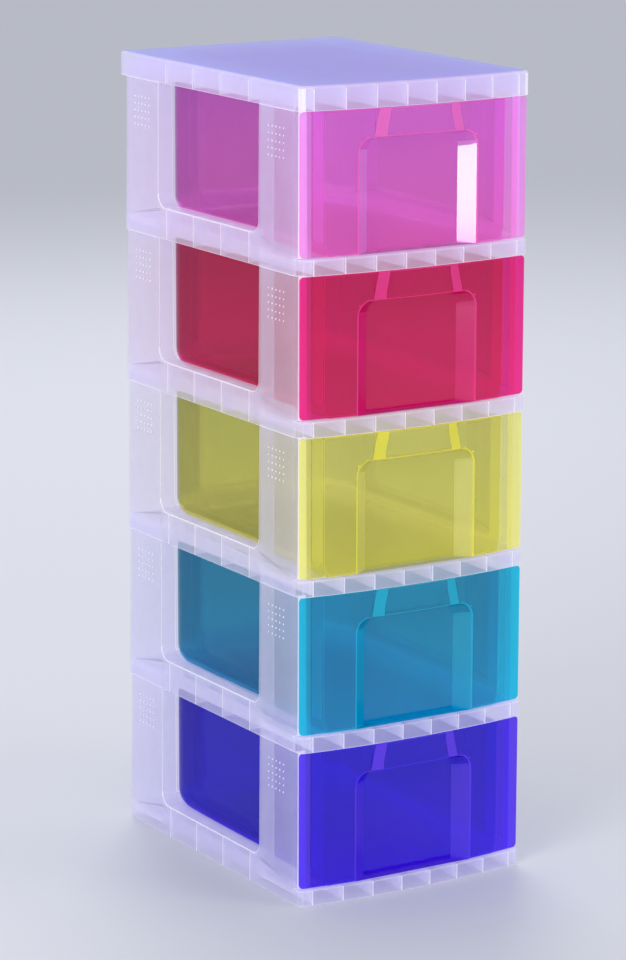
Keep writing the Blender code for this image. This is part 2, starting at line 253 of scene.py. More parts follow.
def plan(half_width, front_shift, rear, front_radius, rear_radius):
    """The plan outline: a bowed front, straight sides and a straight rear at a depth."""
    points = []
    for i in range(BOW_STEPS + 1):
        x = -half_width + 2 * half_width * i / BOW_STEPS
        points.append((x, bow(x) + front_shift))
    if front_radius > 0:
        points = [p for p in points if abs(p[0]) == half_width or abs(p[0]) < half_width - front_radius]
    radii = [front_radius] + [0] * (len(points) - 2) + [front_radius, rear_radius, rear_radius]
    points += [(half_width, FRONT + rear), (-half_width, FRONT + rear)]
    return rounded(points, radii)


def box_outline(low, high):
    return [(low[0], low[1]), (high[0], low[1]), (high[0], high[1]), (low[0], high[1])]


def prism(name, outline, low, high, axis="Z"):
    """A mesh object: the outline extruded from low to high along an axis.

    Along Z the outline is in x and y, along Y in x and z, and along X in y and z.
    """
    curve = bpy.data.curves.new(name, "CURVE")
    curve.dimensions = "2D"
    curve.fill_mode = "BOTH"
    curve.extrude = (high - low) / 2
    spline = curve.splines.new("POLY")
    spline.points.add(len(outline) - 1)
    for point, (u, v) in zip(spline.points, outline):
        point.co = (u, v, 0.0, 1.0)
    spline.use_cyclic_u = True
    drawn = bpy.data.objects.new(name + "_outline", curve)
    bpy.context.scene.collection.objects.link(drawn)
    bpy.context.view_layer.update()
    mesh = bpy.data.meshes.new_from_object(drawn.evaluated_get(bpy.context.evaluated_depsgraph_get()))
    bpy.data.objects.remove(drawn)
    bm = bmesh.new()
    bm.from_mesh(mesh)
    bmesh.ops.remove_doubles(bm, verts=bm.verts, dist=SAME_POINT)
    middle = (low + high) / 2
    for vert in bm.verts:
        u, v, w = vert.co
        w += middle
        vert.co = {"Z": (u, v, w), "Y": (u, w, v), "X": (w, u, v)}[axis]
    bm.normal_update()
    bmesh.ops.recalc_face_normals(bm, faces=bm.faces)
    bmesh.ops.dissolve_limit(bm, angle_limit=FLAT_ANGLE, verts=bm.verts, edges=bm.edges)
    bm.to_mesh(mesh)
    bm.free()
    return bpy.data.objects.new(name, mesh)


def box(name, low, high):
    bm = bmesh.new()
    bmesh.ops.create_cube(bm, size=1.0)
    for vert in bm.verts:
        vert.co = [(lo + hi) / 2 + share * (hi - lo) for lo, hi, share in zip(low, high, vert.co)]
    mesh = bpy.data.meshes.new(name)
    bm.to_mesh(mesh)
    bm.free()
    return bpy.data.objects.new(name, mesh)


def combine(target, operation, tool):
    scratch.objects.link(tool)
    modifier = target.modifiers.new(tool.name, "BOOLEAN")
    modifier.operation = operation
    modifier.solver = "EXACT"
    modifier.object = tool


def evaluated_mesh(obj):
    bpy.context.view_layer.update()
    return bpy.data.meshes.new_from_object(obj.evaluated_get(bpy.context.evaluated_depsgraph_get()))


def taper(obj, at, centre, shares):
    """Scales the vertices above a height about a centre in x and y."""
    for vert in obj.data.vertices:
        if vert.co.z > at:
            vert.co.x = centre[0] + (vert.co.x - centre[0]) * shares[0]
            vert.co.y = centre[1] + (vert.co.y - centre[1]) * shares[1]


def bevel_edges(obj, chosen, radius, segments):
    bm = bmesh.new()
    bm.from_mesh(obj.data)
    bm.normal_update()
    edges = [edge for edge in bm.edges if chosen(edge)]
    bmesh.ops.bevel(
        bm, geom=edges, offset=radius, segments=segments, profile=0.5, affect="EDGES", clamp_overlap=False
    )
    bm.to_mesh(obj.data)
    bm.free()


# The frame's shapes


def ribs(target, low, high, rear):
    """Front-to-back ribs under a deck, from the bowed front wall to a depth."""
    half = RIB_THICKNESS / 2
    for i in range(RIB_COUNT):
        x = (i - (RIB_COUNT - 1) / 2) * RIB_PITCH
        start = bow(x) + WALL / 2
        rib = box(f"{target.name}_rib_{i + 1}", (x - half, start, low), (x + half, FRONT + rear, high))
        combine(target, "UNION", rib)


def webs(target, inside, low, high):
    """Crosswise webs behind each side's skin."""
    middle = sum(SIDE_WINDOW) / 2
    half = RIB_THICKNESS / 2
    for name, sign in (("left", -1), ("right", 1)):
        x = sorted((sign * inside, sign * (HALF - WALL + SKIN_EMBED)))
        for i in range(WEB_COUNT):
            y = middle + (i - (WEB_COUNT - 1) / 2) * WEB_PITCH
            web = box(f"{target.name}_web_{name}_{i + 1}", (x[0], y - half, low), (x[1], y + half, high))
            combine(target, "UNION", web)


def pillar_ring(name, inset, low, high):
    """The upper wall's plan as a block, drawn in towards its top by the draft."""
    corners = box_outline(
        (-HALF + inset, FRONT + PILLAR_SETBACK + inset), (HALF - inset, FRONT + FRAME_DEPTH - inset)
    )
    ring = prism(name, rounded(corners, [CORNER_RADIUS - inset] * 4), low, high)
    centre = (0.0, FRONT + (PILLAR_SETBACK + FRAME_DEPTH) / 2)
    drawn_in = (high - low) / UNIT_PITCH * FRAME_DRAFT
    spans = (HALF, (FRAME_DEPTH - PILLAR_SETBACK) / 2)
    taper(ring, (low + high) / 2, centre, [1 - drawn_in / span for span in spans])
    return ring


def window(name, across, low, high, axis, grow=0.0):
    """A U-shaped window's block with rounded lower corners, open at the top."""
    top = UNIT_PITCH + BEYOND if grow == 0 else FRAME_TOP
    outline = rounded(
        box_outline((across[0] - grow, SILL_HEIGHT - grow), (across[1] + grow, top)),
        [WINDOW_RADIUS + grow, WINDOW_RADIUS + grow, 0, 0],
    )
    return prism(name, outline, low, high, axis)


def deck_and_skirt():
    outside = plan(HALF, 0.0, FRAME_DEPTH, CORNER_RADIUS, CORNER_RADIUS)
    inside = plan(HALF - WALL, WALL, FRAME_DEPTH - WALL, CORNER_RADIUS - WALL, CORNER_RADIUS - WALL)
    deck = prism("frame_pattern", outside, 0.0, DECK_TOP)
    bevel_edges(
        deck,
        lambda edge: all(vert.co.z > DECK_TOP - SAME_HEIGHT for vert in edge.verts),
        BAND_ROUNDING,
        BAND_SEGMENTS,
    )
    combine(deck, "DIFFERENCE", prism("under_deck", inside, -OVERSHOOT, FOOT))
    return deck


def upper_wall():
    low = DECK_TOP - 2 * BAND_ROUNDING
    wall = pillar_ring("wall_outer", WALL_INSET, low, FRAME_TOP)
    combine(wall, "DIFFERENCE", pillar_ring("wall_inner", WALL, low - OVERSHOOT, FRAME_TOP + OVERSHOOT))
    return wall


def tongue():
    """The rim that nests behind the skirt of the frame above. It is open at the front."""
    inner = TONGUE_INSET + TONGUE_THICKNESS
    rear_radius = CORNER_RADIUS - TONGUE_INSET
    rim = plan(
        HALF - TONGUE_INSET, PILLAR_SETBACK, FRAME_DEPTH - TONGUE_INSET, TONGUE_FRONT_RADIUS, rear_radius
    )
    hole = plan(HALF - inner, 0.0, FRAME_DEPTH - inner, 0.0, CORNER_RADIUS - inner)
    ring = prism("tongue", rim, FRAME_TOP - EMBED, TONGUE_TOP)
    combine(ring, "DIFFERENCE", prism("tongue_hole", hole, FRAME_TOP - OVERSHOOT, UNIT_PITCH + BEYOND))
    low = (-WIDTH, FRONT - WIDTH, 0.0)
    high = (WIDTH, FRONT + PILLAR_SETBACK + TONGUE_FRONT_GAP, UNIT_PITCH + BEYOND)
    combine(ring, "DIFFERENCE", box("tongue_front", low, high))
    return ring


def add_side_returns(target):
    """A U-shaped return round each side window, a guide wall below its sill and the hollow between them."""
    for name, sign in (("left", -1), ("right", 1)):
        x = sorted((sign * RETURN_INSIDE, sign * (HALF - WALL + SKIN_EMBED)))
        combine(target, "UNION", window(f"return_{name}", SIDE_WINDOW, x[0], x[1], "X", WALL))
        x = sorted((sign * RETURN_INSIDE, sign * (RETURN_INSIDE + WALL)))
        low = (x[0], SIDE_WINDOW[0] - WALL, FOOT + EMBED)
        high = (x[1], SIDE_WINDOW[1] + WALL, SILL_HEIGHT + WINDOW_RADIUS)
        combine(target, "UNION", box(f"guide_{name}", low, high))
        x = sorted((sign * (RETURN_INSIDE + WALL), sign * (HALF - WALL)))
        low = (x[0], SIDE_WINDOW[0], -OVERSHOOT)
        high = (x[1], SIDE_WINDOW[1], SILL_HEIGHT - WALL - SKIN_EMBED)
        combine(target, "DIFFERENCE", box(f"sill_hollow_{name}", low, high))


def add_rear_return(target):
    skin = FRONT + FRAME_DEPTH - WALL
    across = (-REAR_WINDOW_HALF, REAR_WINDOW_HALF)
    combine(target, "UNION", window("return_rear", across, REAR_INSIDE, skin + SKIN_EMBED, "Y", WALL))
    low = (-REAR_WINDOW_HALF - WALL, REAR_INSIDE, FOOT + EMBED)
    high = (REAR_WINDOW_HALF + WALL, REAR_INSIDE + WALL, SILL_HEIGHT + WINDOW_RADIUS)
    combine(target, "UNION", box("guide_rear", low, high))
    low = (-REAR_WINDOW_HALF, REAR_INSIDE + WALL, -OVERSHOOT)
    high = (REAR_WINDOW_HALF, skin, SILL_HEIGHT - WALL - SKIN_EMBED)
    combine(target, "DIFFERENCE", box("sill_hollow_rear", low, high))


def cut_openings(target):
    """The two side windows, the rear window and the mouth that the drawer slides through."""
    for name, sign in (("left", -1), ("right", 1)):
        x = sorted((sign * (RETURN_INSIDE - WINDOW_REACH), sign * (HALF + OVERSHOOT)))
        combine(target, "DIFFERENCE", window(f"window_{name}", SIDE_WINDOW, x[0], x[1], "X"))
    across = (-REAR_WINDOW_HALF, REAR_WINDOW_HALF)
    far = FRONT + FRAME_DEPTH + OVERSHOOT
    combine(target, "DIFFERENCE", window("window_rear", across, REAR_INSIDE - WINDOW_REACH, far, "Y"))
    half = HALF - FRONT_FLANGE
    mouth = box("mouth", (-half, FRONT, DECK_TOP), (half, FRONT + MOUTH_DEPTH, UNIT_PITCH + BEYOND))
    combine(target, "DIFFERENCE", mouth)


def add_pips(bm):
    """Low round pips in a square on each side pillar, in the second material with its painted glow."""
    half = (PIP_ROWS - 1) / 2
    for sign in (-1, 1):
        for depth in PIP_DEPTHS:
            for row in range(PIP_ROWS):
                for column in range(PIP_ROWS):
                    z = PIP_MIDDLE + (row - half) * PIP_PITCH
                    y = FRONT + depth + (column - half) * PIP_PITCH
                    x = sign * (HALF - FRAME_DRAFT * z / UNIT_PITCH - WALL_INSET)
                    made = bmesh.ops.create_uvsphere(
                        bm, u_segments=PIP_SEGMENTS, v_segments=PIP_RINGS, radius=PIP_RADIUS
                    )
                    for vert in made["verts"]:
                        vert.co.x *= PIP_HEIGHT / PIP_RADIUS
                        vert.co += Vector((x, y, z))
                    for face in {face for vert in made["verts"] for face in vert.link_faces}:
                        face.material_index = PAINTED_GLOW


def frame_pattern():
    pattern = deck_and_skirt()
    combine(pattern, "UNION", upper_wall())
    combine(pattern, "UNION", tongue())
    add_side_returns(pattern)
    add_rear_return(pattern)
    ribs(pattern, RIB_FOOT, FOOT + RIB_EMBED, FRAME_DEPTH - RIB_REAR_GAP)
    webs(pattern, RETURN_INSIDE + WALL / 2, RIB_FOOT, SILL_HEIGHT - WALL / 2)
    cut_openings(pattern)
    return pattern


def lid_pattern():
    depth = FRAME_DEPTH + LID_OVERHANG
    inner = WALL + SKIN_EMBED
    pattern = prism("lid_pattern", plan(HALF, 0.0, depth, CORNER_RADIUS, CORNER_RADIUS), 0.0, LID_HEIGHT)
    bevel_edges(
        pattern,
        lambda edge: all(vert.co.z > LID_HEIGHT - SAME_HEIGHT for vert in edge.verts),
        LID_EDGE_RADIUS,
        LID_EDGE_SEGMENTS,
    )
    hollow = plan(HALF - inner, inner, depth - inner, CORNER_RADIUS - inner, CORNER_RADIUS - inner)
    ceiling = LID_HEIGHT - LID_THICKNESS
    combine(pattern, "DIFFERENCE", prism("under_lid", hollow, -OVERSHOOT, ceiling))
    ribs(pattern, RIB_FOOT, ceiling + RIB_EMBED, FRAME_DEPTH - RIB_REAR_GAP)
    webs(pattern, OUTER_RIB, RIB_FOOT, ceiling + SKIN_EMBED)
    return pattern


# The drawer's shapes


def tub(name, inset, front_shift, low, high):
    """The drawer's tub as a solid block: round rear corners and a round foot along its sides and rear."""
    outline = plan(
        TUB_HALF_WIDTH - inset, front_shift, TUB_REAR - inset, 0.0, TUB_CORNER_RADIUS - inset
    )
    block = prism(name, outline, low, high)

    def on_foot(edge):
        if any(vert.co.z > low + SAME_HEIGHT for vert in edge.verts):
            return False
        return not any(face.normal.y < -SQUARE for face in edge.link_faces)

    bevel_edges(block, on_foot, TUB_FOOT_RADIUS - inset, FOOT_SEGMENTS)
    return block


def strip(name, front_shift, back_shift, half_width, low, high):
    """A bowed strip between two shifts of the front line."""
    outline = []
    for i in range(BOW_STEPS + 1):
        x = half_width * (2 * i / BOW_STEPS - 1)
        outline.append((x, bow(x) + front_shift))
    for i in range(BOW_STEPS + 1):
        x = half_width * (1 - 2 * i / BOW_STEPS)
        outline.append((x, bow(x) + back_shift))
    return prism(name, outline, low, high)


def recess(name, grow, low):
    """The finger recess as a block: an arch that narrows towards its back, open at its foot."""
    half = RECESS_HALF_WIDTH + grow
    top = RECESS_TOP + grow
    back_half = RECESS_BACK_HALF_WIDTH + grow
    back_top = RECESS_BACK_TOP + grow
    arch = rounded(box_outline((-half, low), (half, top)), [0, 0, RECESS_RADIUS, RECESS_RADIUS])
    block = prism(name, arch, FRONT - BEYOND, FRONT + RECESS_MOUTH, "Y")
    bm = bmesh.new()
    bm.from_mesh(block.data)
    end = [face for face in bm.faces if face.normal.y > SQUARE]
    made = bmesh.ops.extrude_face_region(bm, geom=end)
    bmesh.ops.delete(bm, geom=end, context="FACES")
    for vert in [item for item in made["geom"] if isinstance(item, bmesh.types.BMVert)]:
        vert.co.y = FRONT + RECESS_BACK + grow
        vert.co.x *= back_half / half
        vert.co.z = low + (vert.co.z - low) * (back_top - low) / (top - low)
    bmesh.ops.recalc_face_normals(bm, faces=bm.faces)
    bm.to_mesh(block.data)
    bm.free()
    return block


def pad(name, inset, bottom, top, front_shift, back_shift):
    """The pull pad's block above the recess, with sloping sides, between two shifts of the front line."""
    back = FRONT + PAD_BACK + inset * 2
    half = PAD_BASE_HALF_WIDTH - inset
    outline = [
        (-half, bottom),
        (half, bottom),
        (half * PAD_TOP_SHARE, top),
        (-half * PAD_TOP_SHARE, top),
    ]
    block = prism(name, outline, back - PAD_BLOCK_DEPTH, back, "Y")
    for vert in block.data.vertices:
        if vert.co.y < back - PAD_BLOCK_DEPTH / 2:
            vert.co.x *= 1 - PAD_SLOPE * PAD_BLOCK_DEPTH / half
    shell = strip(name + "_shell", front_shift, back_shift, RECESS_HALF_WIDTH, 0.0, UNIT_PITCH + OVERSHOOT)
    combine(block, "INTERSECT", shell)
    return block


def drawer_pattern():
    back = PLATE_SETBACK + PLATE_THICKNESS
    pattern = tub("drawer_pattern", 0.0, PLATE_SETBACK + PLATE_THICKNESS / 2, TUB_BOTTOM, TUB_TOP)
    inner_face = back + SKIN_EMBED
    cavity = tub("drawer_cavity", TUB_WALL, inner_face, TUB_BOTTOM + TUB_WALL, TUB_TOP + OVERSHOOT)
    combine(pattern, "DIFFERENCE", cavity)

    corners = box_outline((-PLATE_HALF_WIDTH, PLATE_BOTTOM), (PLATE_HALF_WIDTH, PLATE_TOP))
    plate = prism("plate", rounded(corners, [PLATE_RADIUS] * 4), FRONT - BEYOND, FRONT + BEYOND, "Y")
    combine(plate, "INTERSECT", strip("plate_bow", PLATE_SETBACK, back, HALF, 0.0, UNIT_PITCH + OVERSHOOT))
    combine(pattern, "UNION", plate)

    combine(pattern, "UNION", recess("recess_wall", TUB_WALL, TUB_BOTTOM))
    high = UNIT_PITCH + OVERSHOOT
    ahead = strip("ahead_of_plate", -BEYOND, PLATE_SETBACK, HALF + OVERSHOOT, -OVERSHOOT, high)
    combine(pattern, "DIFFERENCE", ahead)
    combine(pattern, "DIFFERENCE", recess("recess_space", 0.0, 0.0))
    crest = PLATE_SETBACK - PAD_HEIGHT
    sunk = PLATE_SETBACK + PLATE_THICKNESS / 2
    combine(pattern, "UNION", pad("pull_pad", 0.0, PAD_BOTTOM, PLATE_TOP, crest, sunk))
    return pattern


# Finishing a mesh: rims marked, edges rounded, smooth shading


def mark_rims(bm):
    """Gives the faces that are a wall's narrow edge the second material: a painted glow and a brighter colour
    for the light gathered in the edge.
    """
    for face in bm.faces:
        longest = max(edge.calc_length() for edge in face.edges)
        narrow = face.calc_area() / longest < RIM_THICKNESS and longest > 2 * RIM_THICKNESS
        folded = any(
            edge.calc_length() > longest / 2 and edge.calc_face_angle(0.0) > EDGE_ANGLE for edge in face.edges
        )
        face.material_index = PAINTED_GLOW if narrow and folded else MAIN


def mark_front_corners(bm):
    """Gives the round front corners, where light gathers, the second material: a painted highlight that
    glows.
    """
    for face in bm.faces:
        x, y, z = face.calc_center_median()
        across = abs(face.normal.x) > PAD_TURN and face.normal.y < -CORNER_TURN
        turned = across and abs(face.normal.z) < UPRIGHT
        if turned and abs(x) > HALF - CORNER_RADIUS and y < FRONT + PILLAR_SETBACK + CORNER_RADIUS:
            face.material_index = PAINTED_GLOW


def split_faces(bm, faces, axis, place):
    """Cuts faces along a plane across an axis."""
    normal = Vector((0.0, 0.0, 0.0))
    normal[axis] = 1.0
    geom = list({item for face in faces for item in (face, *face.edges, *face.verts)})
    bmesh.ops.bisect_plane(bm, geom=geom, dist=SAME_POINT, plane_co=normal * place, plane_no=normal)


def mark_rib_lines(bm, top):
    """Gives the outer wall's narrow strips before the ribs and webs the second material, up to a height:
    painted bright lines that glow.
    """
    half = RIB_THICKNESS / 2
    middle = sum(SIDE_WINDOW) / 2
    rib_places = [(i - (RIB_COUNT - 1) / 2) * RIB_PITCH for i in range(RIB_COUNT)]
    web_places = [middle + (i - (WEB_COUNT - 1) / 2) * WEB_PITCH for i in range(WEB_COUNT)]

    def outer(face, axis):
        x, y, z = face.calc_center_median()
        if axis == 0:
            return face.normal.y < -NEARLY_SQUARE and y < FRONT + WALL / 2 and z < top
        return abs(face.normal.x) > NEARLY_SQUARE and abs(x) > HALF - WALL / 2 and z < top

    for axis, places in ((0, rib_places), (1, web_places)):
        for place in places:
            for side in (place - half, place + half):
                split_faces(bm, [face for face in bm.faces if outer(face, axis)], axis, side)
        for face in bm.faces:
            if outer(face, axis) and any(
                abs(face.calc_center_median()[axis] - place) < half for place in places
            ):
                face.material_index = PAINTED_GLOW


def mark_flanges(bm):
    """Gives the narrow upright flanges beside the mouth the second material, a painted glow that lights them
    behind the drawer's front plate.
    """
    for face in bm.faces:
        x, y, z = face.calc_center_median()
        beside = abs(x) > HALF - FRONT_FLANGE - EMBED and y < FRONT + PILLAR_SETBACK + 2 * WALL
        if beside and z > DECK_TOP and abs(face.normal.y) > SQUARE:
            face.material_index = PAINTED_GLOW


def round_windows(bm):
    """Rounds the outer edge of each side window into a wider lip of the second material, a painted highlight
    that glows.
    """

    def on_window(edge):
        if edge.calc_face_angle(0.0) < EDGE_ANGLE:
            return False
        for x, y, z in [vert.co for vert in edge.verts]:
            on_skin = abs(x) > HALF - FRAME_DRAFT - EMBED / 2
            if not on_skin or z < SILL_HEIGHT - EMBED or z > FRAME_TOP - EMBED / 2:
                return False
            if not SIDE_WINDOW[0] - EMBED < y < SIDE_WINDOW[1] + EMBED:
                return False
        return True

    bmesh.ops.bevel(
        bm,
        geom=[edge for edge in bm.edges if on_window(edge)],
        offset=LIP_ROUNDING,
        segments=LIP_SEGMENTS,
        profile=0.5,
        affect="EDGES",
        clamp_overlap=False,
        material=PAINTED_GLOW,
    )


def mark_ribs(bm):
    """Gives the sides of the ribs and webs the fourth material."""
    for face in bm.faces:
        x, y, z = face.calc_center_median()
        if z > FOOT or abs(x) > HALF - 2 * WALL or y < FRONT + WALL / 2 or y > FRONT + FRAME_DEPTH - 2 * WALL:
            continue
        if max(abs(face.normal.x), abs(face.normal.y)) > SQUARE:
            face.material_index = FOURTH


def mark_frame(bm):
    mark_ribs(bm)
    mark_flanges(bm)
    sides = [face for face in bm.faces if abs(face.normal.x) > NEARLY_SQUARE]
    split_faces(bm, sides, 2, SILL_HEIGHT - WALL)
    mark_rib_lines(bm, SILL_HEIGHT - WALL)


def mark_lid(bm):
    """Marks the lid's corners and ribs, and gives its flat top the third material, coloured darker and bluer
    as a painted reflection.
    """
    mark_ribs(bm)
    mark_front_corners(bm)
    mark_rib_lines(bm, LID_HEIGHT - LID_EDGE_RADIUS)
    for face in bm.faces:
        if face.normal.z > LEVEL and face.calc_center_median().z > LID_HEIGHT - LID_EDGE_RADIUS:
            face.material_index = THIRD


def mark_pad(bm):
    """Gives the pull pad's slopes and underside the second material, painted brighter than the crest, with a
    painted glow.
    """
    for face in bm.faces:
        x, y, z = face.calc_center_median()
        if abs(x) > PAD_BASE_HALF_WIDTH + EMBED or y > FRONT + PLATE_SETBACK or z < PAD_BOTTOM - EMBED:
            continue
        if abs(face.normal.x) > PAD_TURN or face.normal.z < -SQUARE:
            face.material_index = PAINTED_GLOW


def mark_tub_strips(bm):
    """Gives the third material to the tub's outside near the front plate, and to the plate's margins: painted
    light, a lighter colour that glows, where the frame's pale flanges stand behind.

    The rest of the tub's sides get the fourth, coloured darker as painted shade.
    """

    def beside(face):
        outside = abs(face.calc_center_median().x) > TUB_HALF_WIDTH - TUB_WALL / 2
        return outside and abs(face.normal.x) > SQUARE

    split_faces(bm, [face for face in bm.faces if beside(face)], 1, FRONT + STRIP_DEPTH)
    for face in bm.faces:
        if beside(face):
            near = face.calc_center_median().y < FRONT + STRIP_DEPTH
            face.material_index = THIRD if near else FOURTH
    inner = HALF - FRONT_FLANGE
    for x in (-inner, inner):
        split_faces(bm, [face for face in bm.faces if face.normal.y < -SQUARE], 0, x)
    for face in bm.faces:
        margin = face.normal.y < -SQUARE and abs(face.calc_center_median().x) > inner
        if margin and face.material_index == MAIN:
            face.material_index = THIRD


def mark_tub_corners(bm):
    """Gives the outside of the tub's round rear corners the fourth material, in the same painted shade as the
    walls before them.
    """
    start = FRONT + TUB_REAR - TUB_CORNER_RADIUS
    for face in bm.faces:
        x, y, z = face.calc_center_median()
        out = math.hypot(abs(x) - TUB_HALF_WIDTH + TUB_CORNER_RADIUS, y - start)
        at_corner = y > start and abs(x) > TUB_HALF_WIDTH - TUB_CORNER_RADIUS
        if at_corner and abs(face.normal.z) < HALF_TURNED and out > TUB_CORNER_RADIUS - TUB_WALL / 2:
            face.material_index = FOURTH


def mark_recess_sides(bm):
    """Gives the finger recess's slanting sides the third material, painted lighter as a painted highlight."""
    for face in bm.faces:
        x, y, z = face.calc_center_median()
        slants = face.normal.y < -HALF_TURNED and SLANT < abs(face.normal.x) < SQUARE
        upright = abs(face.normal.z) < NEARLY_UPRIGHT
        beside = RECESS_BACK_HALF_WIDTH < abs(x) < RECESS_HALF_WIDTH and y < FRONT + RECESS_BACK
        if slants and upright and beside and z > PLATE_BOTTOM and face.calc_area() > EMBED * RECESS_RADIUS:
            face.material_index = THIRD


def round_arch(bm):
    """Rounds the edge between front plate and finger recess into a wider lip of the second material, a
    painted highlight that glows.
    """

    def on_arch(edge):
        if edge.calc_face_angle(0.0) < EDGE_ANGLE:
            return False
        for x, y, z in [vert.co for vert in edge.verts]:
            inside = abs(x) < RECESS_HALF_WIDTH + EMBED and PLATE_BOTTOM - EMBED < z < RECESS_TOP + EMBED / 4
            if not inside or abs(y - bow(x) - PLATE_SETBACK) > EMBED / 4:
                return False
        return any(abs(vert.co.z - PLATE_BOTTOM) > EMBED for vert in edge.verts)

    bmesh.ops.bevel(
        bm,
        geom=[edge for edge in bm.edges if on_arch(edge)],
        offset=LIP_ROUNDING,
        segments=LIP_SEGMENTS,
        profile=0.5,
        affect="EDGES",
        clamp_overlap=False,
        material=PAINTED_GLOW,
    )


def unmark_recess_back(bm):
    """Gives the soft edges round the back of the finger recess the first material again."""
    for face in bm.faces:
        x, y, z = face.calc_center_median()
        behind = y > FRONT + RECESS_BACK - EMBED and y < FRONT + RECESS_BACK + 2 * TUB_WALL
        if behind and abs(x) < RECESS_BACK_HALF_WIDTH + 2 * TUB_WALL and z > TUB_BOTTOM + 2 * EMBED:
            face.material_index = MAIN


def finished_mesh(pattern, name, before, after):
    """The mesh of a pattern with its Booleans applied and its edges rounded, for copies to share.

    The functions in before and after mark its faces before and after the rounding.
    """
    scratch.objects.link(pattern)
    mesh = evaluated_mesh(pattern)
    mesh.materials.clear()
    for _ in range(SLOT_COUNT):
        mesh.materials.append(None)
    bm = bmesh.new()
    bm.from_mesh(mesh)
    bmesh.ops.remove_doubles(bm, verts=bm.verts, dist=SAME_POINT)
    bmesh.ops.dissolve_limit(bm, angle_limit=FLAT_ANGLE, verts=bm.verts, edges=bm.edges)
    bm.normal_update()
    mark_rims(bm)
    for mark in before:
        mark(bm)
    bm.to_mesh(mesh)
    bm.free()
    holder = bpy.data.objects.new(name + "_rounding", mesh)
    scratch.objects.link(holder)
    rounding = holder.modifiers.new("edges", "BEVEL")
    rounding.width = EDGE_ROUNDING
    rounding.segments = ROUNDING_SEGMENTS
    rounding.limit_method = "ANGLE"
    rounding.angle_limit = EDGE_ANGLE
    rounding.use_clamp_overlap = False
    # Every rounded edge takes the second material: a painted highlight that glows along it
    rounding.material = PAINTED_GLOW
    made = evaluated_mesh(holder)
    made.name = name
    bm = bmesh.new()
    bm.from_mesh(made)
    for mark in after:
        mark(bm)
    bm.to_mesh(made)
    bm.free()
    made.shade_smooth()
    made.set_sharp_from_angle(angle=EDGE_ANGLE)
    holder.modifiers.clear()
    holder.data = made
    flat = holder.modifiers.new("flat_faces", "WEIGHTED_NORMAL")
    flat.keep_sharp = True
    flat.weight = FACE_WEIGHT
    weighted = evaluated_mesh(holder)
    weighted.name = name
    return weighted


# Materials

# The shares of light that a surface mirrors head on and fully aslant, and how fast it changes between them
GLOSS = (0.05, 0.6)
FROST_GLOSS = (0.02, 0.12)
FROST_GRAIN = 0.12
GLOSS_POWER = 5.0

# The share of a face's body that is lit from its far side
LIT_SHARE = 0.5

# Flow marks and the frost's fine texture: sizes as noise scales, how much the clear share varies, and depth
FLOW_SCALE = 28.0
FLOW_DETAIL = 3.0
FLOW_RANGE = (0.3, 0.7)
MOTTLE = 0.015
TEXTURE_SCALE = 900.0
TEXTURE_DETAIL = 2.0
TEXTURE_DEPTH = 0.0002

# Painted shade: how dark the tub's sides are coloured, against its front
PAINTED_SIDE_SHADE = 0.28


